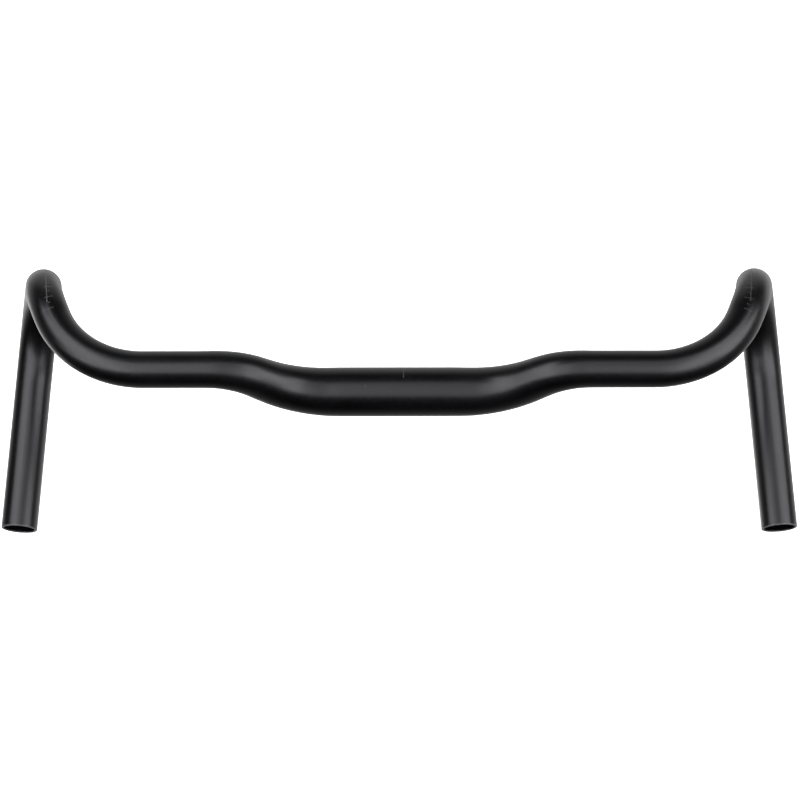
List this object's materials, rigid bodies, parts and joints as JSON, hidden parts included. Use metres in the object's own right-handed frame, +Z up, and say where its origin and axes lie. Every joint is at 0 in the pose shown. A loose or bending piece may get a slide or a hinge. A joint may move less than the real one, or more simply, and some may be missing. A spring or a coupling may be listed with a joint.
{
  "type": "drop handlebar",
  "caption": "Bicycle drop handlebar: a bent black tube with a raised outer part, a thicker middle for the stem and flared drops with open ends.",
  "frame": {"origin": "centre of the stem clamp, on the clamp's axis", "axes": "+X along the clamp's axis towards the rider's right, +Y towards the front wheel, +Z up, with the drops below and pointing back"},
  "size_m": [0.5286, 0.1492, 0.1524],
  "materials": {
    "black_tube": "bead-blasted satin black anodising",
    "print": "light grey ink"
  },
  "bodies": {
    "root": {"handlebar_tube": "black_tube", "left_lever_scale": "print", "right_lever_scale": "print", "clamp_scale": "print"}
  },
  "joints": []
}
